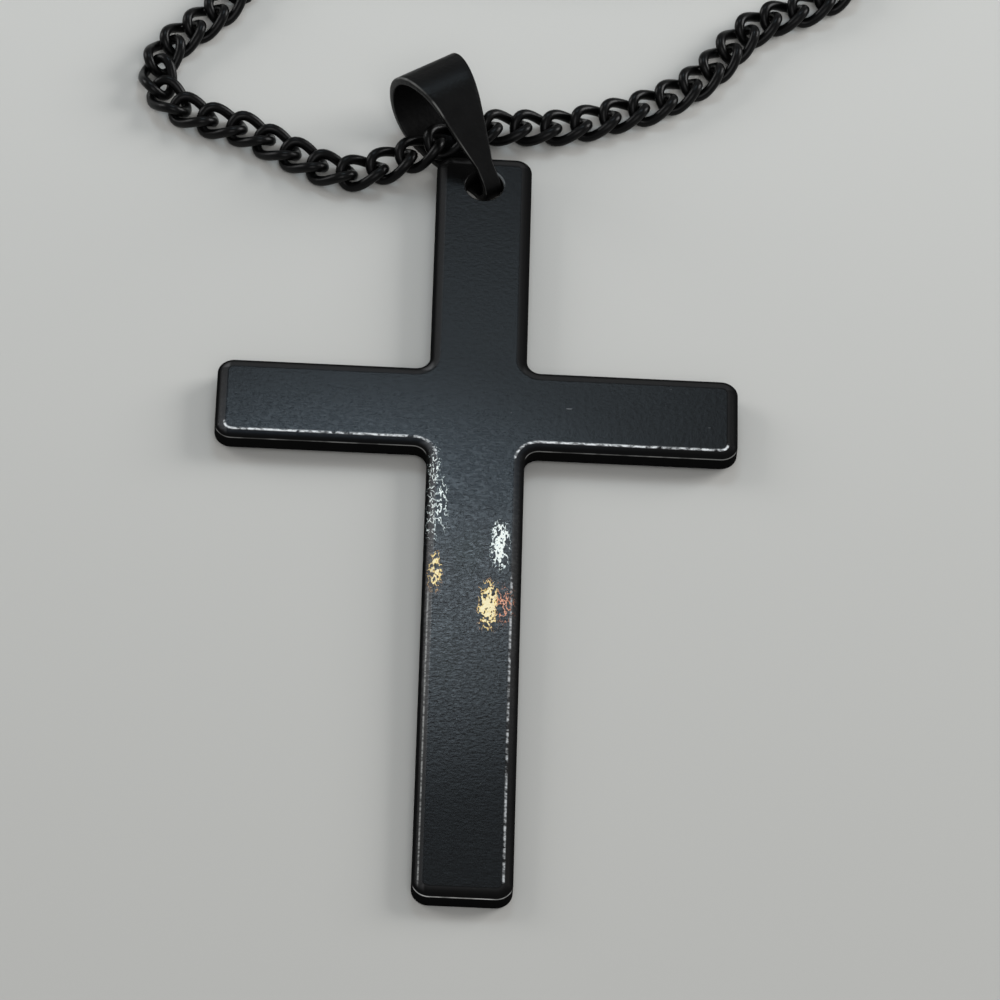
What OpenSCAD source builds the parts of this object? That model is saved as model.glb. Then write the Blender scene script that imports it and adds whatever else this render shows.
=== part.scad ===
// Cross pendant on a tapered strip bail, threaded on a twisted curb chain,
// all lying on its back on a table. Millimetres, +Z up, cross foot towards -Y.

/* [Cross] */
// Overall length of the cross, head to foot
cross_len = 50; // [35:0.5:70]
// Overall span of the arms
cross_span = 29; // [20:0.5:45]
// Width of every bar
bar_w = 5.4; // [4:0.1:8]
// Head length, from the middle of the crossing to the top
head_len = 17.85; // [12:0.05:24]
// Plate thickness
plate_t = 1.15; // [0.9:0.05:1.6]
// Width of the eased border round the front face
border_w = 0.65; // [0.3:0.05:0.8]
// How far the border drops from the face to the arris
border_drop = 0.2; // [0.05:0.05:0.4]
// Radius of the outer corners
corner_r = 0.95; // [0.85:0.05:1.5]
// Fillet radius in the four inner corners
inner_r = 0.8; // [0.3:0.05:1.5]
// Diameter of the hanging hole
hole_d = 2.1; // [2:0.05:3]
// Middle of the hole below the top of the head
hole_edge = 2.1; // [1.9:0.05:3]

/* [Bail] */
// Thickness of the strip
strip_t = 0.45; // [0.3:0.05:0.6]
// Width of the strip at the fold
fold_w = 3.9; // [3:0.1:5]
// Width of the strip in the hole
neck_w = 1; // [0.8:0.05:1.1]
// Middle-line radius of the fold
fold_r = 2.55; // [2.1:0.05:3.2]
// Distance from the hole to the centre of the fold
fold_reach = 5.1; // [4.6:0.1:7]
// Middle-line radius of the bend through the hole
neck_r = 1; // [0.9:0.05:1.2]
// Direction of the bail on the table, turned left from the cross
bail_yaw = 33; // [20:1:45]
// How far the strip sits off the middle of the hole, to the right
bail_shift = 0.35; // [0:0.05:0.4]

/* [Chain] */
// Diameter of the link wire
wire_d = 0.58; // [0.45:0.01:0.6]
// Outer length of a link
link_len = 3.1; // [2.9:0.05:3.4]
// Outer width of a link
link_w = 2.25; // [2.2:0.05:2.7]
// Slack between a link and the next
link_play = 0.16; // [0.1:0.01:0.25]

/* [Closure] */
// Ring radius of the clasp, to the middle of its tube
clasp_r = 2.4; // [2:0.1:3]
// Tube diameter of the clasp
clasp_tube = 1.1; // [0.8:0.05:1.2]
// Ring radius of the two joining rings
join_r = 1.4; // [1.35:0.05:1.6]
// Wire diameter of the two joining rings
join_d = 0.6; // [0.45:0.05:0.65]
// Distance between neighbouring rows of the stowed chain
row_gap = 2.8; // [2.6:0.1:3.6]
// Half the straight run of the stowed chain
run_half = 6; // [5:0.5:9]

/* [Hidden] */

// Clearance between pieces that touch
seat = 0.05;
// Rounding of the back edge
back_r = 0.12;
coat = [0.10, 0.11, 0.12];

// Cross: the plate leans on the strip under its head
foot_y = head_len - cross_len;
hole_y = head_len - hole_edge;
plate_lift = strip_t + seat;
plate_tilt = atan(plate_lift / (cross_len - hole_edge - hole_d / 2));

// Link: an oval whose wire dips and rises twice round, so neighbours cross square
link_a = (link_len - wire_d) / 2;
link_b = (link_w - wire_d) / 2;
link_c = link_b / 2;
link_h = 2 * link_c + wire_d;
link_pitch = link_len - 2 * wire_d - link_play;
chain_z = link_h / 2 + 0.01;
link_count = 32;
mid_link = 17;

// Stowed chain: two strands wound side by side about a middle run
coil_y = 32.25;
coil_r = 5 * row_gap;
turn = 2 * row_gap;
heart_y = row_gap / 2;
join_end = clasp_r - (clasp_tube + join_d) / 2 - seat + 2 * join_r;
join_mid = join_end - join_r;
run_end = join_end + join_d / 2 + seat;
join_tilt = 55;
join_z = join_r * sin(join_tilt) + join_d / 2;
clasp_z = join_z;

// Overall box, which sets the origin at the middle of its base
far_x = run_half + coil_r + row_gap + link_w / 2;
near_x = -(run_half + coil_r + link_w / 2);
far_y = hole_y + coil_y + coil_r + row_gap + link_w / 2;
mid_x = (far_x + near_x) / 2;
mid_y = (far_y + foot_y) / 2;

function arc(c, r, a0, a1, n) =
  [for (i = [0:n]) let(a = a0 + (a1 - a0) * i / n) [c[0] + r * cos(a), c[1] + r * sin(a), chain_z]];
function turned(p) = [for (q = p) [-q[0], 2 * heart_y - q[1], q[2]]];
function moved(p, y) = [for (q = p) [q[0], q[1] + y, q[2]]];
function backwards(p) = [for (i = [len(p) - 1:-1:0]) p[i]];
function raised(p) = [for (q = p) [q[0], q[1], q[2] + chain_z]];

// One strand of the stowed chain, from the outer row to the middle run
strand = concat(
  arc([run_half, 0], coil_r, -90, 90, 8),
  arc([-run_half, row_gap], coil_r - row_gap, 90, 270, 8),
  arc([run_half, 0], coil_r - turn, -90, 90, 7),
  arc([-run_half, (coil_r - turn + heart_y) / 2], (coil_r - turn - heart_y) / 2, 90, 270, 6),
  [[-run_end, heart_y, chain_z]]);
outer_row = concat(arc([run_half, 0], coil_r + row_gap, 0, 90, 5), turned(strand));

// The chain as it lies, measured from the hanging hole, left to right
seen = raised([
  [-6, 18.25, 0], [-10.6, 18.3, 0], [-12.8, 17.6, 0], [-14.0, 16.1, 0], [-14.8, 14.4, 0],
  [-15.8, 12.8, 0], [-17.0, 11.5, 0], [-18.2, 10.2, 0], [-18.9, 8.8, 0], [-18.9, 7.3, 0],
  [-18.1, 5.9, 0], [-16.7, 5.0, 0], [-15.1, 4.4, 0], [-13.4, 3.8, 0], [-11.9, 2.9, 0],
  [-10.2, 2.0, 0], [-8.5, 1.3, 0], [-6.9, 1.3, 0.05], [-5.3, 1.9, 0.25], [-3.8, 2.5, 0.6],
  [-2.6, 3.1, strip_t + 0.4], [-1.1, 3.9, strip_t + 0.3], [0.7, 4.6, strip_t + 0.1],
  [2.7, 5.0, 0.2], [4.5, 5.3, 0.05], [6.3, 5.9, 0], [8.0, 6.6, 0], [9.8, 7.4, 0],
  [11.3, 8.5, 0], [12.6, 9.7, 0], [13.7, 11.2, 0], [14.8, 12.8, 0], [16.1, 14.0, 0],
  [17.7, 14.8, 0], [19.1, 15.6, 0], [20.4, 16.8, 0], [21.6, 19.0, 0], [22.4, 22.5, 0],
  [22.7, 27, 0]]);
route = concat(
  moved(backwards(strand), coil_y), seen, moved(outer_row, coil_y));

// Smooth curve through the route, and the distance run at each of its points
function blend(a, b, c, d, t) =
  0.5 * (2 * b + (c - a) * t + (2 * a - 5 * b + 4 * c - d) * t * t
    + (3 * b - a - 3 * c + d) * t * t * t);
last = len(route) - 1;
smooth = concat([for (i = [0:last - 1], j = [0:5])
  blend(route[max(i - 1, 0)], route[i], route[i + 1], route[min(i + 2, last)], j / 6)],
  [route[last]]);
run = [for (i = 0, s = 0; i < len(smooth);
  s = s + (i + 1 < len(smooth) ? norm(smooth[i + 1] - smooth[i]) : 0), i = i + 1) s];
run_x = [for (i = [0:len(run) - 1]) [run[i], smooth[i][0]]];
run_y = [for (i = [0:len(run) - 1]) [run[i], smooth[i][1]]];
run_z = [for (i = [0:len(run) - 1]) [run[i], smooth[i][2]]];
whole = run[len(run) - 1];
function on(s) = [lookup(s, run_x), lookup(s, run_y), lookup(s, run_z)];

// Distance run at the bail, where the middle link hangs
bail_at = run[6 * (len(strand) + 21) + 2];
function link_at(k) = bail_at + (k - mid_link) * link_pitch;
left_end = link_at(1) - link_len / 2 - seat;
right_end = link_at(link_count) + link_len / 2 + seat;

// Skin of a closed or open tube of equal rings
function skin(rings, sides, closed) = [
  for (i = [0:rings - (closed ? 1 : 2)], j = [0:sides - 1])
    let(a = i * sides + j, b = i * sides + (j + 1) % sides,
      c = ((i + 1) % rings) * sides + j, d = ((i + 1) % rings) * sides + (j + 1) % sides)
    each [[a, b, d], [a, d, c]]];
function unit(v) = v / norm(v);

module on_table() {
  translate([-mid_x, -mid_y, 0]) children();
}

// Outline of the cross, drawn in by d
function outline(d) = let(
    w = bar_w / 2, s = cross_span / 2,
    p = [[w, w, -1, 1], [w, head_len, 1, 1], [-w, head_len, 1, 1], [-w, w, -1, 1],
      [-s, w, 1, 1], [-s, -w, 1, 1], [-w, -w, -1, 1], [-w, foot_y, 1, 1],
      [w, foot_y, 1, 1], [w, -w, -1, 1], [s, -w, 1, 1], [s, w, 1, 1]])
  [for (i = [0:11]) let(
      q = [p[i][0], p[i][1]],
      u = unit([p[(i + 11) % 12][0], p[(i + 11) % 12][1]] - q),
      v = unit([p[(i + 1) % 12][0], p[(i + 1) % 12][1]] - q),
      out = p[i][2] > 0,
      r = out ? corner_r : inner_r,
      k = out ? r - d : r + d,
      c = q + (u + v) * r)
    for (j = [0:6]) let(a = 90 * j / 6) c - v * k * cos(a) - u * k * sin(a)];

module plate() {
  levels = [[back_r, 0], [0, back_r], [0, plate_t - border_drop],
    [border_w * 0.45, plate_t - border_drop * 0.38], [border_w, plate_t]];
  n = 84;
  points = [for (l = levels) each [for (q = outline(l[0])) [q[0], q[1], l[1]]]];
  sides = [for (i = [0:3], j = [0:n - 1])
    [i * n + j, (i + 1) * n + j, (i + 1) * n + (j + 1) % n, i * n + (j + 1) % n]];
  floor = [for (j = [3:n + 2]) j % n];
  top = [for (j = [n + 2:-1:3]) 4 * n + j % n];
  polyhedron(points, concat([floor], sides, [top]), convexity = 6);
}

module cross() {
  color(coat)
  on_table()
  translate([0, foot_y, 0]) rotate([plate_tilt, 0, 0]) translate([0, -foot_y, 0])
  difference() {
    plate();
    translate([0, hole_y, -1]) cylinder(h = plate_t + 2, d = hole_d, $fn = 48);
    translate([0, hole_y, plate_t - 0.12])
      cylinder(h = 0.2, d1 = hole_d, d2 = hole_d + 0.4, $fn = 48);
  }
}

// Side view of the bail as [reach, height]: a belt round the neck bend and the fold
neck_x = neck_r + strip_t / 2
  - sqrt(pow(hole_d / 2 - seat, 2) - pow(neck_w / 2 + bail_shift, 2));
belt_turn = 2 * asin((fold_r - neck_r) / norm([fold_reach - neck_x, fold_r - neck_r]));
belt_c = [[neck_x, strip_t / 2 + neck_r], [fold_reach, strip_t / 2 + fold_r]];
function round_belt(c, r, a0, a1, n) =
  [for (i = [0:n]) let(a = a0 + (a1 - a0) * i / n) c + r * [cos(a), sin(a)]];
function between(a, b, n) = [for (i = [1:n - 1]) a + (b - a) * i / n];
fold_arc = round_belt(belt_c[1], fold_r, -90, 90 + belt_turn, 16);
neck_arc = round_belt(belt_c[0], neck_r, 90 + belt_turn, 270, 8);
belt = concat(fold_arc, between(fold_arc[16], neck_arc[0], 5), neck_arc,
  between(neck_arc[8], fold_arc[0], 5));
tip_x = fold_reach + fold_r;
function strip_w(x) = let(far = max(0, (tip_x - max(x, neck_x)) / (tip_x - neck_x)))
  neck_w + (fold_w - neck_w) * (1 - pow(far, 1.5));

module bail() {
  n = len(belt);
  points = [for (i = [0:n - 1]) let(
      p = belt[i], t = unit(belt[(i + 1) % n] - belt[(i + n - 1) % n]),
      m = [t[1], -t[0]] * strip_t / 2, w = strip_w(p[0]) / 2)
    each [for (c = [[-1, -1], [-1, 1], [1, 1], [1, -1]])
      [p[0] + m[0] * c[0], w * c[1] - bail_shift, p[1] + m[1] * c[0]]]];
  color(coat)
  on_table()
  translate([0, hole_y, 0]) rotate([0, 0, 90 + bail_yaw])
    polyhedron(points, skin(n, 4, true), convexity = 4);
}

// One link: rings of the wire round the dipping oval
link_rings = 16;
link_sides = 6;
link_points = [for (i = [0:link_rings - 1]) let(
    a = 360 * i / link_rings,
    p = [link_a * cos(a), link_b * sin(a), -link_c * sin(2 * a)],
    t = unit([-link_a * sin(a), link_b * cos(a), -2 * link_c * cos(2 * a)]),
    u = unit(cross(t, [0, 0, 1])), v = cross(u, t))
  each [for (j = [0:link_sides - 1]) let(b = 360 * j / link_sides)
    p + (u * cos(b) + v * sin(b)) * wire_d / 2]];

module link(k) {
  s = link_at(k);
  p = on(s);
  t = unit(on(s + link_pitch / 2) - on(s - link_pitch / 2));
  color(coat)
  on_table()
  translate([0, hole_y, 0]) translate(p)
  rotate([0, -asin(t[2]), atan2(t[1], t[0])])
    polyhedron(link_points, skin(link_rings, link_sides, true), convexity = 4);
}

// A stretch of stowed chain as one flat cord of the chain's own width and height
module far_chain(s0, s1, n) {
  sides = 6;
  points = [for (i = [0:n]) let(
      s = s0 + (s1 - s0) * i / n, p = on(s),
      t = unit(on(s + 0.3) - on(s - 0.3)), u = unit([t[1], -t[0], 0]))
    each [for (j = [0:sides - 1]) let(b = 360 * j / sides)
      p + u * cos(b) * link_w / 2 + [0, 0, 1] * sin(b) * link_h / 2 / cos(180 / sides)]];
  ends = [[for (j = [0:sides - 1]) sides - 1 - j], [for (j = [0:sides - 1]) n * sides + j]];
  color(coat)
  on_table()
  translate([0, hole_y, 0])
    polyhedron(points, concat(skin(n + 1, sides, false), ends), convexity = 10);
}

module far_chain_left() {
  far_chain(left_end, 0, 88);
}

module far_chain_right() {
  far_chain(right_end, whole, 98);
}

module ring(r, d) {
  rotate_extrude($fn = 48) translate([r, 0]) circle(d = d, $fn = 24);
}

module join_ring(side) {
  color(coat)
  on_table()
  translate([side * join_mid, hole_y + coil_y + heart_y, join_z])
  rotate([side * join_tilt, 0, 0]) ring(join_r, join_d);
}

module join_ring_left() {
  join_ring(-1);
}

module join_ring_right() {
  join_ring(1);
}

module clasp() {
  color(coat)
  on_table()
  translate([0, hole_y + coil_y + heart_y, clasp_z]) {
    ring(clasp_r, clasp_tube);
    rotate([0, 0, 60]) translate([clasp_r, 0, 0])
      rotate([0, 90, 0]) cylinder(h = clasp_tube, d = 0.6 * clasp_tube, $fn = 24);
  }
}

cross();
bail();
link(1);  // link_01
link(2);  // link_02
link(3);  // link_03
link(4);  // link_04
link(5);  // link_05
link(6);  // link_06
link(7);  // link_07
link(8);  // link_08
link(9);  // link_09
link(10);  // link_10
link(11);  // link_11
link(12);  // link_12
link(13);  // link_13
link(14);  // link_14
link(15);  // link_15
link(16);  // link_16
link(17);  // link_17
link(18);  // link_18
link(19);  // link_19
link(20);  // link_20
link(21);  // link_21
link(22);  // link_22
link(23);  // link_23
link(24);  // link_24
link(25);  // link_25
link(26);  // link_26
link(27);  // link_27
link(28);  // link_28
link(29);  // link_29
link(30);  // link_30
link(31);  // link_31
link(32);  // link_32
far_chain_left();
far_chain_right();
join_ring_left();
join_ring_right();
clasp();
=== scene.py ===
import math
import random

import bmesh
import bpy
from mathutils import Matrix, Vector


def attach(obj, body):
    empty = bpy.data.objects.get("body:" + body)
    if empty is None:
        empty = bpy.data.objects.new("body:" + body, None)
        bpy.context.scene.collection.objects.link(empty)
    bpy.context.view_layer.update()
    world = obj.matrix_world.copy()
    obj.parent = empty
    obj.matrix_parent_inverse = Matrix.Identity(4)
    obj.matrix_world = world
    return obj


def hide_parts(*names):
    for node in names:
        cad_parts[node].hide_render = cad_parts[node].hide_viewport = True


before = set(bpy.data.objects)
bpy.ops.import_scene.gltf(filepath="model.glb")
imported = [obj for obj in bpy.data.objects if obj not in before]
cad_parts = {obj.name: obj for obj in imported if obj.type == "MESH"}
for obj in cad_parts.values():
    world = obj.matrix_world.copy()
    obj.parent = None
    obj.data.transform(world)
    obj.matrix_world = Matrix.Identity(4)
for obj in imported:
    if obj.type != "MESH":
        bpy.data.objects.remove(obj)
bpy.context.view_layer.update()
scene = bpy.context.scene
mm = 0.001
random.seed(7)

# sizes shared by several pieces, in millimetres
crossShape = {
    "length": 50.0,
    "span": 29.0,
    "bar": 5.4,
    "head": 17.85,
    "thickness": 1.15,
    "border": 0.65,
    "borderDrop": 0.2,
    "borderSteps": ((0.45, 0.62), (0.35, 0.28), (0.2, 0.1)),  # shares of the border's width and drop, inward
    "cornerRadius": 0.95,
    "innerRadius": 0.8,
    "backRounding": 0.12,
    "arrisRounding": 0.05,
    "holeWidth": 2.1,
    "holeFromTop": 2.1,
    "holeLip": 0.12,
}
linkShape = {"wire": 0.58, "length": 3.1, "width": 2.25, "play": 0.16}
stowShape = {"rowGap": 2.8, "halfRun": 6.0, "middleY": 32.25}
stripThickness = 0.45
seat = 0.05  # clearance where one piece bears on another

holeY = crossShape["head"] - crossShape["holeFromTop"]
footY = crossShape["head"] - crossShape["length"]
arrisHeight = crossShape["thickness"] - crossShape["borderDrop"]
# the strip under the head tips the plate about its foot
footToHole = crossShape["length"] - crossShape["holeFromTop"] - crossShape["holeWidth"] / 2
plateSlope = (stripThickness + seat) / footToHole
outerRow = 6 * stowShape["rowGap"]
farX = stowShape["halfRun"] + outerRow + linkShape["width"] / 2
nearX = -(stowShape["halfRun"] + outerRow - stowShape["rowGap"] + linkShape["width"] / 2)
farY = holeY + stowShape["middleY"] + outerRow + linkShape["width"] / 2
middle = Vector(((farX + nearX) / 2, (farY + footY) / 2, 0))


def finishMesh(bm, name, material, sharpAngle):
    # millimetres from the crossing become metres from the frame's origin, with the object left there
    bmesh.ops.translate(bm, vec=-middle, verts=bm.verts)
    bmesh.ops.scale(bm, vec=(mm, mm, mm), verts=bm.verts)
    bmesh.ops.recalc_face_normals(bm, faces=bm.faces)
    mesh = bpy.data.meshes.new(name)
    bm.to_mesh(mesh)
    bm.free()
    mesh.shade_smooth()
    mesh.set_sharp_from_angle(angle=math.radians(sharpAngle))
    mesh.materials.append(material)
    obj = bpy.data.objects.new(name, mesh)
    scene.collection.objects.link(obj)
    return obj


# materials

def newMaterial(name):
    material = bpy.data.materials.new(name)
    material.use_nodes = True
    tree = material.node_tree
    return material, tree, tree.nodes["Principled BSDF"]


def addNode(tree, kind, inputs=None, **settings):
    node = tree.nodes.new(kind)
    for key, value in settings.items():
        setattr(node, key, value)
    for key, value in (inputs or {}).items():
        if hasattr(value, "is_linked"):
            tree.links.new(value, node.inputs[key])
        else:
            node.inputs[key].default_value = value
    return node


def mathNode(tree, operation, a, b=0.0, c=0.0, clamp=False):
    node = addNode(tree, "ShaderNodeMath", {0: a, 1: b, 2: c}, operation=operation, use_clamp=clamp)
    return node.outputs[0]


def times(tree, *values):
    product = values[0]
    for value in values[1:]:
        product = mathNode(tree, "MULTIPLY", product, value)
    return product


def minus(tree, a, b):
    return mathNode(tree, "SUBTRACT", a, b)


def distance(tree, a, b):
    # length of the slope with legs a and b
    return mathNode(tree, "SQRT", mathNode(tree, "MULTIPLY_ADD", a, a, times(tree, b, b)))


def mixColor(tree, factor, a, b):
    node = addNode(tree, "ShaderNodeMix", {0: factor, 6: a, 7: b}, data_type="RGBA")
    return node.outputs[2]


def smoothRange(tree, value, low, high, toLow=0.0, toHigh=1.0):
    node = addNode(tree, "ShaderNodeMapRange",
                   {"Value": value, "From Min": low, "From Max": high, "To Min": toLow, "To Max": toHigh},
                   interpolation_type="SMOOTHSTEP")
    return node.outputs["Result"]


def noise(tree, coords, scale, detail=2.0, rough=0.5):
    settings = {"Vector": coords, "Scale": scale, "Detail": detail, "Roughness": rough}
    return addNode(tree, "ShaderNodeTexNoise", settings).outputs["Fac"]


def band(tree, value, low, high, soft):
    # one between low and high, easing to nothing over soft on either side
    rise = smoothRange(tree, value, low - soft, low + soft)
    fall = smoothRange(tree, value, high - soft, high + soft, 1.0, 0.0)
    return times(tree, rise, fall)


def stretched(tree, coords, sizeX, sizeY):
    # noise with cells about sizeX by sizeY millimetres
    scale = (1 / (sizeX * mm), 1 / (sizeY * mm), 1 / (sizeX * mm))
    scaled = addNode(tree, "ShaderNodeVectorMath", {0: coords, 1: scale}, operation="MULTIPLY")
    return noise(tree, scaled.outputs[0], 1.0)


# places are in millimetres from the crossing
crossLook = {
    # painted sheen: the face colour is painted lighter round the sheen's middle, with a painted cool
    # reflection tint on the arms, and the end colour beyond it
    "sheenNeutralColor": (0.011, 0.011, 0.011, 1),
    "sheenCoolColor": (0.008, 0.015, 0.024, 1),
    "sheenCoolFrom": (-11, -2),  # the face's painted reflection turns cooler from the first height up to the second
    "endColor": (0.0035, 0.0035, 0.0035, 1),
    "sideColor": (0.006, 0.006, 0.006, 1),
    "roughness": 0.26,
    "peelSize": 0.26,
    "peelDepth": 0.030,
    "strokeSize": (0.26, 0.13),
    "strokeGain": (0.88, 1.9),  # how much the face mirrors in a stroke's troughs and on its crests
    "sheenPlace": (-7.5, -11.8, 13.5, 9.4),  # middle, then reach across and along
    "sheenFade": (0.15, 1.75),  # in reaches from the middle
    "sheen": (0.47, 0.125),  # how strongly the face mirrors in the middle and at the ends
    # painted shade across the border, from the face down to the sides
    "borderShadeGain": 4.5,
    "leftBorderGain": 5.0,  # how much more the borders on the left and at the head mirror
    "headBorderGain": 3.5,
    # painted highlight on the hole's lip
    "lipHighlightColor": (0.10, 0.105, 0.105, 1),
    "lipRing": (1.07, 1.20, 0.03),  # from, to and soft edge, out from the middle of the hole
    # painted highlights along the arris, brighter at the foot
    "arrisHighlightColor": (0.27, 0.27, 0.26, 1),
    "footArrisHighlightColor": (0.75, 0.75, 0.73, 1),
    "arrisLine": (-0.03, 0.006, 0.014),  # from, to and soft edge, up from the arris
    # painted glints along the face's edges, and the places of these painted highlight lines
    "paintedGlintColor": (0.90, 0.93, 0.94, 1),
    "faceLine": (-0.030, -0.009, 0.008),  # from, to and soft edge, up from the face
    "armLine": (-3.4, -1.8, 0.3),  # from, to and soft edge along the cross
    "barLine": (-31.2, -11.5, 0.8),
    "leftLine": (-2.41, -2.33, 0.02),  # across the cross
    "leftLineRun": (-31.4, -12.6, 0.3),  # along it
    "brightestGlint": (1.0, 1.0, 0.88, 1),
    # places on the face painted with glints, painted highlights: left, right, bottom, top, share covered,
    # core color and fringe color
    "paintedGlints": (
        (-2.4, -2.1, -9.2, -3.0, 1.1, (0.93, 1.0, 0.96, 1), (0.20, 0.24, 0.24, 1)),
        (-2.0, -1.6, -8.4, -5.2, 1.1, (0.93, 1.0, 0.96, 1), (0.20, 0.24, 0.24, 1)),
        (-2.2, -1.9, -12.0, -10.4, 3.0, (1.0, 0.78, 0.28, 1), (0.40, 0.17, 0.05, 1)),
        (1.2, 1.8, -10.4, -8.2, 2.6, (0.93, 1.0, 0.96, 1), (0.22, 0.27, 0.26, 1)),
        (0.6, 1.3, -14.4, -12.4, 3.4, (1.0, 0.78, 0.28, 1), (0.42, 0.17, 0.06, 1)),
        (1.4, 2.2, -14.2, -12.4, 0.9, (0.75, 0.30, 0.16, 1), (0.25, 0.10, 0.06, 1)),
    ),
}


def platePlace(tree, coords):
    # millimetres from the crossing, and up from the back of the tilted plate
    place = addNode(tree, "ShaderNodeSeparateXYZ", {0: coords}).outputs
    x = mathNode(tree, "MULTIPLY_ADD", place["X"], 1 / mm, middle.x)
    y = mathNode(tree, "MULTIPLY_ADD", place["Y"], 1 / mm, middle.y)
    lean = times(tree, minus(tree, y, footY), -plateSlope)
    z = mathNode(tree, "MULTIPLY_ADD", place["Z"], 1 / mm, lean)
    return x, y, z


def plateShade(tree, z, facing, onTop, onFace):
    # painted shade: nothing on the sides, one on the flat face, and the border's painted tone between
    risen = mathNode(tree, "DIVIDE", minus(tree, z, arrisHeight), crossShape["borderDrop"], clamp=True)
    # the border is painted darker outward, a painted shade that comes slowly toward the right and the foot
    # and fast on the other two sides
    slow = times(tree, mathNode(tree, "POWER", risen, 4.0), crossLook["borderShadeGain"])
    fast = smoothRange(tree, risen, 0.25, 0.8)
    turned = smoothRange(tree, minus(tree, facing["X"], facing["Y"]), -0.06, 0.06)
    border = mathNode(tree, "ADD", times(tree, slow, turned), times(tree, fast, minus(tree, 1.0, turned)))
    return mathNode(tree, "ADD", times(tree, border, onTop, minus(tree, 1.0, onFace)), onFace)


def paintArrisHighlight(tree, color, coords, y, z, facing, fromHole):
    # a thin painted highlight along the arris, on the sides that face the foot and clear of the hole
    look = crossLook
    low, high, soft = look["arrisLine"]
    line = band(tree, z, arrisHeight + low, arrisHeight + high, soft)
    patchy = smoothRange(tree, noise(tree, coords, 900), 0.35, 0.6, 0.3, 1.0)
    footward = smoothRange(tree, facing["Y"], -0.5, -0.2, 1.0, 0.0)
    offHole = smoothRange(tree, fromHole, 1.2, 1.4)
    paintedHighlight = mixColor(tree, smoothRange(tree, y, -31.0, -29.0), look["footArrisHighlightColor"], look["arrisHighlightColor"])
    return mixColor(tree, times(tree, line, footward, offHole, patchy), color, paintedHighlight)


def paintLipHighlight(tree, color, x, overHole, fromHole, onTop):
    # the hole's lip has a painted highlight on its right, toward the head
    side = times(tree, smoothRange(tree, x, 0.2, 0.8), smoothRange(tree, overHole, -0.1, 0.3))
    lip = times(tree, band(tree, fromHole, *crossLook["lipRing"]), onTop, side)
    return mixColor(tree, lip, color, crossLook["lipHighlightColor"])


def paintFaceEdgeGlints(tree, color, coords, x, y, z, onTop):
    # painted highlights: broken bright lines where the face ends, along the arms' foot side and down the
    # lower bar, and a thin line down the left side
    look = crossLook
    low, high, soft = look["faceLine"]
    edge = band(tree, z, crossShape["thickness"] + low, crossShape["thickness"] + high, soft)
    aside = mathNode(tree, "ABSOLUTE", x)
    arms = times(tree, band(tree, y, *look["armLine"]), smoothRange(tree, aside, 1.9, 2.4, 0.0, 0.9))
    lowerBar = times(tree, band(tree, y, *look["barLine"]), smoothRange(tree, x, -2.0, 2.0, 0.0, 0.7))
    zone = mathNode(tree, "MAXIMUM", arms, lowerBar)
    flecks = mathNode(tree, "MULTIPLY_ADD", zone, 0.3, stretched(tree, coords, 0.34, 0.30))
    uneven = smoothRange(tree, stretched(tree, coords, 0.30, 0.14), 0.36, 0.58, 0.2, 1.0)
    glint = times(tree, smoothRange(tree, flecks, 0.57, 0.78), edge, smoothRange(tree, zone, 0.05, 0.3),
                  smoothRange(tree, y, -6, -3, 0.55, 1.0), uneven)
    color = mixColor(tree, glint, color, look["paintedGlintColor"])
    run = band(tree, y, *look["leftLineRun"])
    leftLine = times(tree, band(tree, x, *look["leftLine"]), run, uneven, onTop)
    return mixColor(tree, leftLine, color, look["arrisHighlightColor"])


def paintGlints(tree, color, coords, x, y, onTop):
    # painted glints: thin winding veins that close up toward the middle of each glinting place
    veins = mathNode(tree, "ABSOLUTE", minus(tree, stretched(tree, coords, 0.26, 0.55), 0.5))
    broken = smoothRange(tree, stretched(tree, coords, 0.16, 0.18), 0.36, 0.52, 0.25, 1.0)
    for left, right, bottom, top, share, core, fringe in crossLook["paintedGlints"]:
        inside = times(tree, band(tree, x, left, right, 0.42), band(tree, y, bottom, top, 1.1))
        width = times(tree, inside, broken, 0.075 * share)
        depth = mathNode(tree, "DIVIDE", minus(tree, width, veins), 0.05)
        tint = mixColor(tree, smoothRange(tree, depth, 0.1, 0.5), fringe, core)
        tint = mixColor(tree, smoothRange(tree, depth, 0.7, 1.3, 0.0, 0.4), tint, crossLook["brightestGlint"])
        color = mixColor(tree, times(tree, smoothRange(tree, depth, 0.0, 0.2), onTop), color, tint)
    return color


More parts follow.
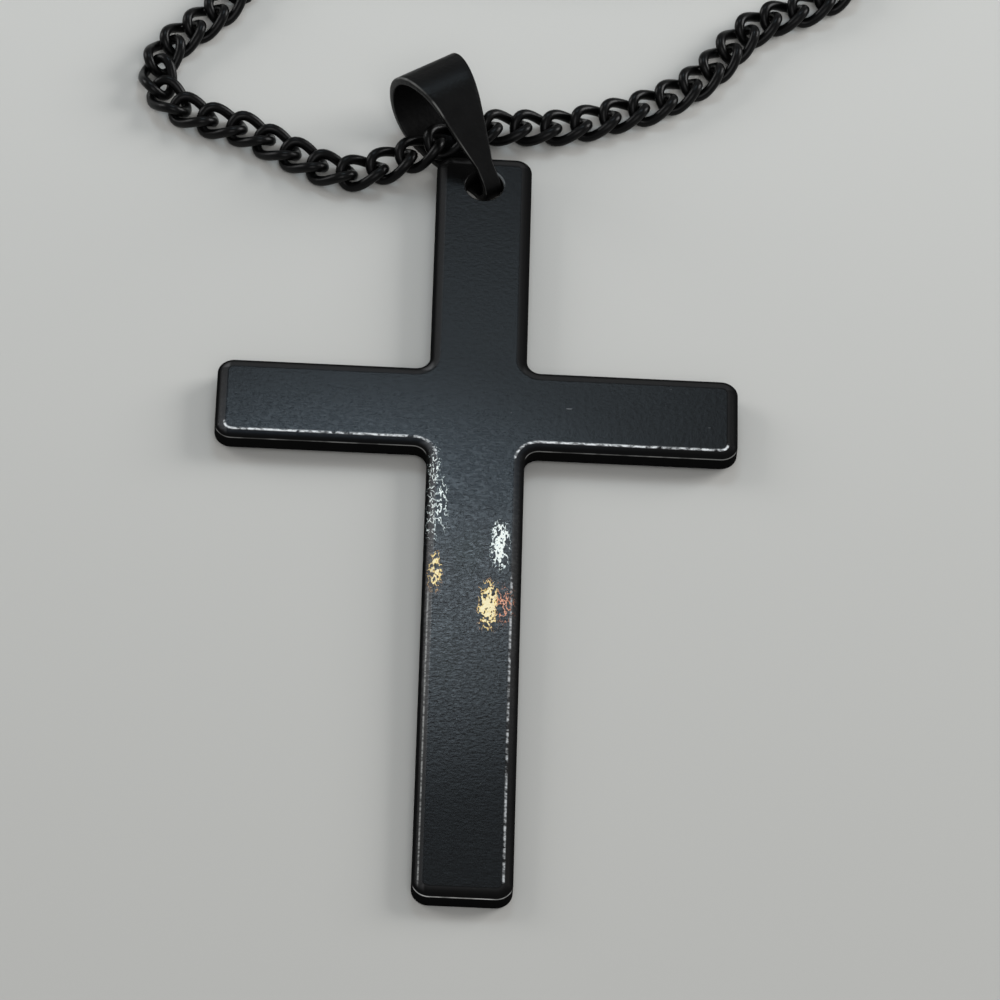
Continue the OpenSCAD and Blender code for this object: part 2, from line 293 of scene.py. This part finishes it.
def crossCoat():
    material, tree, shader = newMaterial("crossCoat")
    look = crossLook
    coords = addNode(tree, "ShaderNodeTexCoord").outputs["Object"]
    x, y, z = platePlace(tree, coords)
    normal = addNode(tree, "ShaderNodeNewGeometry").outputs["Normal"]
    facing = addNode(tree, "ShaderNodeSeparateXYZ", {0: normal}).outputs
    onTop = smoothRange(tree, facing["Z"], 0.5, 0.9)
    onFace = smoothRange(tree, facing["Z"], 0.985, 0.998)
    shadeTone = plateShade(tree, z, facing, onTop, onFace)
    overHole = minus(tree, y, holeY)
    fromHole = distance(tree, x, overHole)

    # the painted sheen, in colour and in mirror strength, is strongest below and left of the crossing
    centerX, centerY, reachX, reachY = look["sheenPlace"]
    across = mathNode(tree, "DIVIDE", minus(tree, x, centerX), reachX)
    down = mathNode(tree, "DIVIDE", minus(tree, y, centerY), reachY)
    spread = distance(tree, across, down)
    strokes = stretched(tree, coords, *look["strokeSize"])

    # painted sheen and reflection tint in the face colour, fading to the end colour away from the sheen's
    # middle
    face = mixColor(tree, smoothRange(tree, y, *look["sheenCoolFrom"]), look["sheenNeutralColor"], look["sheenCoolColor"])
    face = mixColor(tree, smoothRange(tree, spread, *look["sheenFade"]), face, look["endColor"])
    color = mixColor(tree, mathNode(tree, "MINIMUM", shadeTone, 1.0), look["sideColor"], face)
    color = paintArrisHighlight(tree, color, coords, y, z, facing, fromHole)
    color = paintLipHighlight(tree, color, x, overHole, fromHole, onTop)
    color = paintFaceEdgeGlints(tree, color, coords, x, y, z, onTop)
    color = paintGlints(tree, color, coords, x, y, onTop)
    # a few stray bright streaks on the face, painted highlights
    stray = times(tree, smoothRange(tree, stretched(tree, coords, 0.9, 0.16), 0.765, 0.80), onFace, 0.25)
    color = mixColor(tree, stray, color, look["paintedGlintColor"])
    tree.links.new(color, shader.inputs["Base Color"])

    # orange peel and strokes in the coat, which lie flatter toward the ends
    peel = noise(tree, coords, 1 / (look["peelSize"] * mm), 3, 0.6)
    height = times(tree, mathNode(tree, "ADD", peel, times(tree, strokes, 0.5)), onFace,
                   smoothRange(tree, spread, 0.6, 1.9, 1.0, 0.25))
    bump = addNode(tree, "ShaderNodeBump",
                   {"Height": height, "Strength": 1.0, "Distance": look["peelDepth"] * mm})
    tree.links.new(bump.outputs[0], shader.inputs["Normal"])
    shader.inputs["Roughness"].default_value = look["roughness"]

    lively = smoothRange(tree, strokes, 0.42, 0.72, *look["strokeGain"])
    fading = smoothRange(tree, spread, 0.5, 1.6, 1.0, 0.1)
    stroked = mathNode(tree, "MULTIPLY_ADD", minus(tree, lively, 1.0), fading, 1.0)
    leftward = smoothRange(tree, facing["X"], -0.17, -0.10, look["leftBorderGain"], 1.0)
    headward = smoothRange(tree, facing["Y"], 0.10, 0.17, 1.0, look["headBorderGain"])
    sheen = smoothRange(tree, spread, *look["sheenFade"], *look["sheen"])
    mirror = times(tree, sheen, stroked, shadeTone, leftward, headward)
    tree.links.new(mirror, shader.inputs["Specular IOR Level"])
    return material


bailLook = {
    "color": (0.004, 0.004, 0.004, 1),
    "roughness": 0.38,
    "peelSize": 0.30,
    "peelDepth": 0.02,
    "mirror": 0.12,
    "rimHighlightColor": (0.22, 0.22, 0.21, 1),
}
chainLook = {
    "color": (0.003, 0.003, 0.003, 1),
    "roughness": 0.30,
    "peelSize": 0.2,
    "peelDepth": 0.008,
    "mirror": 0.15,
}


def blackCoat(name, look):
    material, tree, shader = newMaterial(name)
    coords = addNode(tree, "ShaderNodeTexCoord").outputs["Object"]
    cloud = noise(tree, coords, 900, 3)
    red, green, blue, solid = look["color"]
    darker = (red * 0.5, green * 0.5, blue * 0.5, solid)
    tree.links.new(mixColor(tree, cloud, darker, look["color"]), shader.inputs["Base Color"])
    peel = noise(tree, coords, 1 / (look["peelSize"] * mm))
    bump = addNode(tree, "ShaderNodeBump",
                   {"Height": peel, "Strength": 1.0, "Distance": look["peelDepth"] * mm})
    tree.links.new(bump.outputs[0], shader.inputs["Normal"])
    roughness = mathNode(tree, "ADD", look["roughness"] - 0.05, times(tree, cloud, 0.1))
    tree.links.new(roughness, shader.inputs["Roughness"])
    shader.inputs["Specular IOR Level"].default_value = look["mirror"]
    return material


def paintRimHighlight(material):
    # a painted highlight where makeBail marks the strip's outer left edge
    tree = material.node_tree
    shader = tree.nodes["Principled BSDF"]
    coords = addNode(tree, "ShaderNodeTexCoord").outputs["Object"]
    rim = addNode(tree, "ShaderNodeVertexColor", layer_name="paintedHighlight").outputs["Color"]
    patchy = smoothRange(tree, noise(tree, coords, 700, 3), 0.35, 0.62, 0.15, 1.0)
    share = times(tree, smoothRange(tree, rim, 0.7, 0.95), patchy)
    plain = shader.inputs["Base Color"].links[0].from_socket
    tree.links.new(mixColor(tree, share, plain, bailLook["rimHighlightColor"]), shader.inputs["Base Color"])


crossMaterial = crossCoat()
bailMaterial = blackCoat("bailCoat", bailLook)
paintRimHighlight(bailMaterial)
chainMaterial = blackCoat("chainCoat", chainLook)
print("materials made")


# cross

def makeCross():
    size = crossShape
    bm = bmesh.new()
    bmesh.ops.create_grid(bm, x_segments=1, y_segments=1, size=size["bar"] / 2)
    arm = size["span"] / 2
    reach = {(0, 1): size["head"], (0, -1): -footY, (1, 0): arm, (-1, 0): arm}
    for edge in list(bm.edges):
        mid = (edge.verts[0].co + edge.verts[1].co) / 2
        side = (round(mid.x / (size["bar"] / 2)), round(mid.y / (size["bar"] / 2)))
        grown = bmesh.ops.extrude_edge_only(bm, edges=[edge])["geom"]
        moved = [v for v in grown if isinstance(v, bmesh.types.BMVert)]
        step = reach[side] - size["bar"] / 2
        bmesh.ops.translate(bm, vec=(side[0] * step, side[1] * step, 0), verts=moved)
    bmesh.ops.dissolve_faces(bm, faces=bm.faces)
    half, near = size["bar"] / 2, 1e-4
    outer = [v for v in bm.verts if max(abs(v.co.x), abs(v.co.y)) > half + near]
    bmesh.ops.bevel(bm, geom=outer, offset=size["cornerRadius"], segments=10, profile=0.5,
                    affect="VERTICES", material=-1)
    inner = [v for v in bm.verts if max(abs(abs(v.co.x) - half), abs(abs(v.co.y) - half)) < near]
    bmesh.ops.bevel(bm, geom=inner, offset=size["innerRadius"], segments=10, profile=0.5,
                    affect="VERTICES", material=-1)
    raised = bmesh.ops.extrude_face_region(bm, geom=bm.faces[:])["geom"]
    lifted = [v for v in raised if isinstance(v, bmesh.types.BMVert)]
    bmesh.ops.translate(bm, vec=(0, 0, arrisHeight), verts=lifted)
    bmesh.ops.recalc_face_normals(bm, faces=bm.faces)
    # the border eases up from the arris to the face
    for share, rise in size["borderSteps"]:
        top = max(bm.faces, key=lambda f: f.calc_center_median().z)
        bmesh.ops.inset_region(bm, faces=[top], thickness=size["border"] * share,
                               depth=size["borderDrop"] * rise, use_even_offset=True)
    rim = [e for e in bm.edges if all(abs(v.co.z - arrisHeight) < near for v in e.verts)]
    bmesh.ops.bevel(bm, geom=rim, offset=size["arrisRounding"], segments=3, profile=0.5,
                    affect="EDGES", material=-1)
    back = [e for e in bm.edges if all(abs(v.co.z) < near for v in e.verts)]
    bmesh.ops.bevel(bm, geom=back, offset=size["backRounding"], segments=4, profile=0.5,
                    affect="EDGES", material=-1)
    cutter = makeHoleCutter()
    plate = bpy.data.meshes.new("plate")
    bm.to_mesh(plate)
    bm.free()
    holder = bpy.data.objects.new("plate", plate)
    scene.collection.objects.link(holder)
    cut = holder.modifiers.new("hole", "BOOLEAN")
    cut.object = cutter
    cut.operation = "DIFFERENCE"
    cut.solver = "EXACT"
    bpy.context.view_layer.update()
    drilled = holder.evaluated_get(bpy.context.evaluated_depsgraph_get()).to_mesh()
    bm = bmesh.new()
    bm.from_mesh(drilled)
    bpy.data.objects.remove(holder)
    bpy.data.objects.remove(cutter)
    tilt = Matrix.Rotation(math.atan(plateSlope), 3, "X")
    bmesh.ops.rotate(bm, cent=(0, footY, 0), matrix=tilt, verts=bm.verts)
    obj = finishMesh(bm, "crossPlate", crossMaterial, 50)
    soften = obj.modifiers.new("evenShading", "WEIGHTED_NORMAL")
    soften.keep_sharp = True
    soften.weight = 100
    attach(obj, "root")
    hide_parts("cross")


def makeHoleCutter():
    # a round punch with flared ends, turned about the hole's axis
    size = crossShape
    r, t, lip = size["holeWidth"] / 2, size["thickness"], size["holeLip"]
    bm = bmesh.new()
    flare = r + lip * 2
    outline = [(0, -1), (flare, -1), (flare, -lip), (r, lip), (r, t - lip),
               (r + lip * 0.35, t - lip * 0.35), (flare, t + lip * 0.6), (flare, t + 1), (0, t + 1)]
    verts = [bm.verts.new((x, 0, z)) for x, z in outline]
    edges = [bm.edges.new(pair) for pair in zip(verts, verts[1:])]
    bmesh.ops.spin(bm, geom=verts + edges, cent=(0, 0, 0), axis=(0, 0, 1), angle=math.tau,
                   steps=64, use_merge=True)
    bmesh.ops.remove_doubles(bm, verts=bm.verts, dist=1e-4)
    bmesh.ops.recalc_face_normals(bm, faces=bm.faces)
    bmesh.ops.translate(bm, vec=(0, holeY, 0), verts=bm.verts)
    mesh = bpy.data.meshes.new("punch")
    bm.to_mesh(mesh)
    bm.free()
    obj = bpy.data.objects.new("punch", mesh)
    scene.collection.objects.link(obj)
    return obj


makeCross()
print("cross made")


# bail

bailShape = {
    "foldWidth": 3.9,
    "neckWidth": 1.0,
    "foldRadius": 2.55,
    "reach": 5.1,
    "neckRadius": 1.0,
    "yaw": 33.0,
    "shift": 0.35,
    "edgeRounding": 0.07,
    "rows": 120,
    "columns": 8,
}


def beltPath():
    # side view of the loop: a belt round the bend in the hole and the fold
    size = bailShape
    r, big, t = size["neckRadius"], size["foldRadius"], stripThickness
    side = size["neckWidth"] / 2 + size["shift"]
    inHole = math.sqrt((crossShape["holeWidth"] / 2 - seat) ** 2 - side ** 2)
    neckX = r + t / 2 - inHole
    small, large = Vector((neckX, t / 2 + r)), Vector((size["reach"], t / 2 + big))
    turn = 2 * math.asin((big - r) / (large - small).length)
    points = []
    for center, radius, start, end, steps in ((large, big, -math.pi / 2, math.pi / 2 + turn, 64),
                                              (small, r, math.pi / 2 + turn, math.pi * 1.5, 32)):
        for i in range(steps + 1):
            a = start + (end - start) * i / steps
            points.append(center + Vector((math.cos(a), math.sin(a))) * radius)
    points.append(points[0].copy())
    return points, neckX


def alongPath(points, shares):
    # points at the given shares of a polyline's length, which rise from 0 to 1
    run = [0.0]
    for a, b in zip(points, points[1:]):
        run.append(run[-1] + (b - a).length)
    found, k = [], 0
    for share in shares:
        s = share * run[-1]
        while k < len(run) - 2 and run[k + 1] < s:
            k += 1
        gap = run[k + 1] - run[k]
        found.append(points[k].lerp(points[k + 1], (s - run[k]) / gap if gap else 0))
    return found


def makeBail():
    size = bailShape
    path, neckX = beltPath()
    rows = size["rows"]
    line = alongPath(path, [i / rows for i in range(rows + 1)])
    tip = size["reach"] + size["foldRadius"]
    bm = bmesh.new()
    bmesh.ops.create_grid(bm, x_segments=size["columns"], y_segments=rows, size=0.5)
    turned = math.radians(90 + size["yaw"])
    paintedHighlight = bm.verts.layers.float_color.new("paintedHighlight")
    for v in bm.verts:
        i = round((v.co.y + 0.5) * rows)
        p = line[i]
        ahead, behind = line[(i + 1) % rows], line[(i - 1) % rows]
        t = (ahead - behind).normalized()
        outer = p + Vector((t.y, -t.x)) * stripThickness / 2
        far = max(0, (tip - max(p.x, neckX)) / (tip - neckX))
        width = size["neckWidth"] + (size["foldWidth"] - size["neckWidth"]) * (1 - far ** 1.5)
        x, y, z = outer.x, v.co.x * width - size["shift"], outer.y
        # the outer left edge of the upper strip is marked for a painted highlight
        highlitEdge = v.co.x > 0.49 and p.y > stripThickness / 2 + size["neckRadius"]
        v[paintedHighlight] = (1, 1, 1, 1) if highlitEdge else (0, 0, 0, 1)
        v.co = (x * math.cos(turned) - y * math.sin(turned),
                holeY + x * math.sin(turned) + y * math.cos(turned), z)
    bmesh.ops.remove_doubles(bm, verts=bm.verts, dist=1e-4)
    bmesh.ops.recalc_face_normals(bm, faces=bm.faces)
    outside = {v.co.to_tuple(3) for v in bm.verts}
    bmesh.ops.solidify(bm, geom=bm.faces[:], thickness=stripThickness)
    for v in bm.verts:
        if v.co.to_tuple(3) not in outside:
            v[paintedHighlight] = (0, 0, 0, 1)
    bm.normal_update()
    sharp = [e for e in bm.edges if len(e.link_faces) == 2 and e.calc_face_angle() > 1.0]
    bmesh.ops.bevel(bm, geom=sharp, offset=size["edgeRounding"], segments=3, profile=0.5,
                    affect="EDGES", material=-1)
    obj = finishMesh(bm, "bailStrip", bailMaterial, 60)
    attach(obj, "root")
    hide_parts("bail")


makeBail()
print("bail made")


# chain

# the chain as it lies, measured from the hanging hole, left to right: across, along, raised
seen = [
    (-6, 18.25, 0), (-10.6, 18.3, 0), (-12.8, 17.6, 0), (-14.0, 16.1, 0), (-14.8, 14.4, 0),
    (-15.8, 12.8, 0), (-17.0, 11.5, 0), (-18.2, 10.2, 0), (-18.9, 8.8, 0), (-18.9, 7.3, 0),
    (-18.1, 5.9, 0), (-16.7, 5.0, 0), (-15.1, 4.4, 0), (-13.4, 3.8, 0), (-11.9, 2.9, 0),
    (-10.2, 2.0, 0), (-8.5, 1.3, 0), (-6.9, 1.3, 0.05), (-5.3, 1.9, 0.25), (-3.8, 2.5, 0.6),
    (-2.6, 3.1, 0.85), (-1.1, 3.9, 0.75), (0.7, 4.6, 0.55), (2.7, 5.0, 0.2), (4.5, 5.3, 0.05),
    (6.3, 5.9, 0), (8.0, 6.6, 0), (9.8, 7.4, 0), (11.3, 8.5, 0), (12.6, 9.7, 0),
    (13.7, 11.2, 0), (14.8, 12.8, 0), (16.1, 14.0, 0), (17.7, 14.8, 0), (19.1, 15.6, 0),
    (20.4, 16.8, 0), (21.6, 19.0, 0), (22.4, 22.5, 0), (22.7, 27, 0),
]
bailPoint = 21  # the entry of seen beside the bail
claspShape = {
    "radius": 2.4,
    "tube": 1.1,
    "joinRadius": 1.4,
    "joinWire": 0.6,
    "tilt": 55,
    "knob": (0.33, 0.28),  # radius at its foot and at its end
    "knobTurn": 60,
}
# where the join rings' wire sits inside the clasp, from the clasp's middle
joinReach = claspShape["radius"] - (claspShape["tube"] + claspShape["joinWire"]) / 2 - seat
halfLength = (linkShape["length"] - linkShape["wire"]) / 2
halfWidth = (linkShape["width"] - linkShape["wire"]) / 2
dip = halfWidth / 2
pitch = linkShape["length"] - 2 * linkShape["wire"] - linkShape["play"]
chainZ = dip + linkShape["wire"] / 2 + 0.01  # just clear of the table
curveCuts = 6


def arcPoints(cx, cy, r, start, end, steps):
    points = []
    for i in range(steps + 1):
        a = math.radians(start + (end - start) * i / steps)
        points.append(Vector((cx + r * math.cos(a), cy + r * math.sin(a), chainZ)))
    return points


def stowedStrand(gap, half):
    # from the outer row inward, ending on the middle run beside the clasp
    r = 5 * gap
    inner, heart = r - 2 * gap, gap / 2
    return (arcPoints(half, 0, r, -90, 90, 8) + arcPoints(-half, gap, r - gap, 90, 270, 8)
            + arcPoints(half, 0, inner, -90, 90, 7)
            + arcPoints(-half, (inner + heart) / 2, (inner - heart) / 2, 90, 270, 6))


def wholeRoute():
    gap, half, up = stowShape["rowGap"], stowShape["halfRun"], stowShape["middleY"]
    strand = stowedStrand(gap, half)
    wires = (linkShape["wire"] + claspShape["joinWire"]) / 2
    endX = joinReach + 2 * claspShape["joinRadius"] + halfLength - wires
    strand.append(Vector((-endX, gap / 2, chainZ + 0.4)))
    other = [Vector((-p.x, gap - p.y, p.z)) for p in strand]
    outer = arcPoints(half, 0, 6 * gap, 0, 90, 5) + other
    lift = Vector((0, up, 0))
    visible = [Vector((x, y, z + chainZ)) for x, y, z in seen]
    return [p + lift for p in reversed(strand)] + visible + [p + lift for p in outer], len(strand)


def smoothCurve(points, cuts):
    # a spline through the points, with this many steps between two of them
    line = []
    for i in range(len(points) - 1):
        a, b, c = points[max(i - 1, 0)], points[i], points[i + 1]
        d = points[min(i + 2, len(points) - 1)]
        for j in range(cuts):
            t = j / cuts
            line.append(0.5 * (2 * b + (c - a) * t + (2 * a - 5 * b + 4 * c - d) * t * t
                               + (3 * b - a - 3 * c + d) * t ** 3))
    line.append(points[-1])
    return line


route, bailStart = wholeRoute()
curve = smoothCurve(route, curveCuts)
runs = [0.0]
for p, q in zip(curve, curve[1:]):
    runs.append(runs[-1] + (q - p).length)
bailAt = runs[curveCuts * (bailStart + bailPoint) + 2]  # two steps past that entry


def onCurve(s):
    # the point at length s along the chain
    s = max(0.0, min(runs[-1], s))
    low, high = 0, len(runs) - 1
    while high - low > 1:
        mid = (low + high) // 2
        if runs[mid] <= s:
            low = mid
        else:
            high = mid
    return curve[low].lerp(curve[high], (s - runs[low]) / max(1e-9, runs[high] - runs[low]))


def addLink(bm, s, step, rings, sides, roll=0.0):
    # a torus grid bent to the oval that dips and rises twice round
    grid = bmesh.ops.create_grid(bm, x_segments=rings, y_segments=sides, size=0.5)["verts"]
    ahead = (onCurve(s + step / 2) - onCurve(s - step / 2)).normalized()
    place = (Matrix.Translation(onCurve(s) + Vector((0, holeY, 0)))
             @ Matrix.Rotation(math.atan2(ahead.y, ahead.x), 4, "Z")
             @ Matrix.Rotation(-math.asin(ahead.z), 4, "Y") @ Matrix.Rotation(roll, 4, "X"))
    for v in grid:
        a, b = (v.co.x + 0.5) * math.tau, (v.co.y + 0.5) * math.tau
        t = Vector((-halfLength * math.sin(a), halfWidth * math.cos(a), -2 * dip * math.cos(2 * a)))
        t.normalize()
        u = t.cross(Vector((0, 0, 1))).normalized()
        w = u.cross(t)
        p = Vector((halfLength * math.cos(a), halfWidth * math.sin(a), -dip * math.sin(2 * a)))
        v.co = place @ (p + (u * math.cos(b) + w * math.sin(b)) * linkShape["wire"] / 2)
    bmesh.ops.remove_doubles(bm, verts=grid, dist=1e-4)


def makeVisibleLinks(count=32, middleLink=17):
    for k in range(1, count + 1):
        bm = bmesh.new()
        roll = random.uniform(-0.05, 0.05)
        addLink(bm, bailAt + (k - middleLink) * pitch, pitch, 40, 14, roll)
        node = "link_%02d" % k
        obj = finishMesh(bm, "curb" + node[-2:], chainMaterial, 180)
        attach(obj, "root")
        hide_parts(node)
    return bailAt + (1 - middleLink) * pitch, bailAt + (count - middleLink) * pitch


def makeFarChain(name, node, start, end):
    # the stowed links of one side, coarser than the ones in view
    bm = bmesh.new()
    count = round(abs(end - start) / pitch)
    step = (end - start) / count
    for k in range(1, count + 1):
        addLink(bm, start + k * step, pitch, 12, 5)
    obj = finishMesh(bm, name, chainMaterial, 180)
    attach(obj, "root")
    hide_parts(node)
    return count


firstLink, lastLink = makeVisibleLinks()
leftCount = makeFarChain("stowedLeft", "far_chain_left", firstLink, 0.0)
rightCount = makeFarChain("stowedRight", "far_chain_right", lastLink, runs[-1])
print("chain made:", leftCount, "and", rightCount, "stowed links")


# clasp

def ringMesh(bm, radius, tube, place, steps, around):
    circle = bmesh.ops.create_circle(bm, segments=around, radius=tube / 2)["verts"]
    bmesh.ops.rotate(bm, cent=(0, 0, 0), matrix=Matrix.Rotation(math.pi / 2, 3, "X"), verts=circle)
    bmesh.ops.translate(bm, vec=(radius, 0, 0), verts=circle)
    edges = list({e for v in circle for e in v.link_edges})
    bmesh.ops.spin(bm, geom=circle + edges, cent=(0, 0, 0), axis=(0, 0, 1), angle=math.tau,
                   steps=steps, use_merge=True)
    bmesh.ops.transform(bm, matrix=place, verts=bm.verts)


def makeClosure():
    size = claspShape
    gap = stowShape["rowGap"]
    joinMiddle = joinReach + size["joinRadius"]
    height = size["joinRadius"] * math.sin(math.radians(size["tilt"])) + size["joinWire"] / 2
    center = Vector((0, holeY + stowShape["middleY"] + gap / 2, height))
    for side, name, node in ((-1, "joinRingLeft", "join_ring_left"), (1, "joinRingRight", "join_ring_right")):
        bm = bmesh.new()
        place = (Matrix.Translation(center + Vector((side * joinMiddle, 0, 0)))
                 @ Matrix.Rotation(math.radians(side * size["tilt"]), 4, "X"))
        ringMesh(bm, size["joinRadius"], size["joinWire"], place, 40, 12)
        obj = finishMesh(bm, name, chainMaterial, 180)
        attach(obj, "root")
        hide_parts(node)
    bm = bmesh.new()
    ringMesh(bm, size["radius"], size["tube"], Matrix.Translation(center), 64, 20)
    foot, end = size["knob"]
    knob = bmesh.ops.create_cone(bm, cap_ends=True, segments=20, radius1=foot, radius2=end,
                                 depth=size["tube"])["verts"]
    outward = Matrix.Translation((size["radius"] + size["tube"] / 2, 0, 0))
    place = (Matrix.Translation(center) @ Matrix.Rotation(math.radians(size["knobTurn"]), 4, "Z")
             @ outward @ Matrix.Rotation(math.pi / 2, 4, "Y"))
    bmesh.ops.transform(bm, matrix=place, verts=knob)
    obj = finishMesh(bm, "claspRing", chainMaterial, 40)
    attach(obj, "root")
    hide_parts("clasp")


makeClosure()
print("clasp made")


# floor, light and camera

setShape = {
    "floorShadedNear": (0.517, 0.513, 0.488, 1),
    "floorLitFar": (0.665, 0.660, 0.630, 1),
    "floorLightFalloff": (-0.07, 0.06),  # painted light falloff, in metres along the floor
    "skyColor": (0.97, 0.98, 1.0, 1),
    "ambient": 0.33,
    "cameraAngles": (53.44, -2.30, 4.48),  # elevation, azimuth, roll
    "cameraDistance": 0.3755,
    "lens": 244.81,
    "target": (1.445, -5.222, 0.0),  # from the crossing, in millimetres
    # name, place, size, power, color and aim, in metres
    "lamps": (
        ("left", (-0.42, 0.18, 0.21), (0.25, 0.25), 0.78, (1, 1, 1), (0, -0.02, 0)),
        ("right", (0.42, 0.18, 0.21), (0.25, 0.25), 1.60, (1, 1, 1), (0, -0.02, 0)),
        ("front", (0.04, -0.30, 0.40), (0.25, 0.25), 0.50, (1, 1, 1), (0, -0.02, 0)),
        ("sheen", (-0.004, 0.0639, 0.1223), (0.045, 0.035), 0.026, (0.70, 0.87, 1.0),
         (-0.0054, -0.0249, 0.0014)),
    ),
}


def makeFloor():
    bm = bmesh.new()
    bmesh.ops.create_grid(bm, x_segments=1, y_segments=1, size=1.5)
    mesh = bpy.data.meshes.new("floor")
    bm.to_mesh(mesh)
    bm.free()
    material, tree, shader = newMaterial("paleFloor")
    coords = addNode(tree, "ShaderNodeTexCoord").outputs["Object"]
    place = addNode(tree, "ShaderNodeSeparateXYZ", {0: coords}).outputs
    # painted light falloff: the floor is painted darker toward the camera and lighter away from it
    along = smoothRange(tree, place["Y"], *setShape["floorLightFalloff"])
    color = mixColor(tree, along, setShape["floorShadedNear"], setShape["floorLitFar"])
    tree.links.new(color, shader.inputs["Base Color"])
    shader.inputs["Roughness"].default_value = 0.9
    shader.inputs["Specular IOR Level"].default_value = 0.1
    mesh.materials.append(material)
    floor = bpy.data.objects.new("floor", mesh)
    scene.collection.objects.link(floor)


def makeWorld():
    world = bpy.data.worlds.new("studio")
    scene.world = world
    world.use_nodes = True
    background = world.node_tree.nodes["Background"]
    background.inputs["Color"].default_value = setShape["skyColor"]
    background.inputs["Strength"].default_value = setShape["ambient"]


def areaLamp(name, place, size, power, color, aim):
    data = bpy.data.lights.new(name, "AREA")
    data.shape = "RECTANGLE"
    data.size, data.size_y = size
    data.energy = power
    data.color = color
    lamp = bpy.data.objects.new(name, data)
    lamp.location = place
    lamp.rotation_euler = (Vector(aim) - Vector(place)).to_track_quat("-Z", "Y").to_euler()
    lamp.visible_camera = False
    scene.collection.objects.link(lamp)


def makeCamera():
    elevation, azimuth, roll = [math.radians(a) for a in setShape["cameraAngles"]]
    flat = math.cos(elevation)
    back = Vector((math.sin(azimuth) * flat, -math.cos(azimuth) * flat, math.sin(elevation)))
    right = Vector((math.cos(azimuth), math.sin(azimuth), 0))
    up = back.cross(right)
    rolled = right * math.cos(roll) + up * math.sin(roll)
    upward = up * math.cos(roll) - right * math.sin(roll)
    target = (Vector(setShape["target"]) - middle) * mm
    data = bpy.data.cameras.new("camera")
    data.sensor_width = 36
    data.lens = setShape["lens"]
    data.clip_start = 0.01
    camera = bpy.data.objects.new("camera", data)
    turn = Matrix((rolled, upward, back)).transposed().to_4x4()
    camera.matrix_world = Matrix.Translation(target + back * setShape["cameraDistance"]) @ turn
    scene.collection.objects.link(camera)
    scene.camera = camera


makeFloor()
makeWorld()
for lamp in setShape["lamps"]:
    areaLamp(*lamp)
makeCamera()
scene.view_settings.view_transform = "Standard"
print("floor, light and camera made")
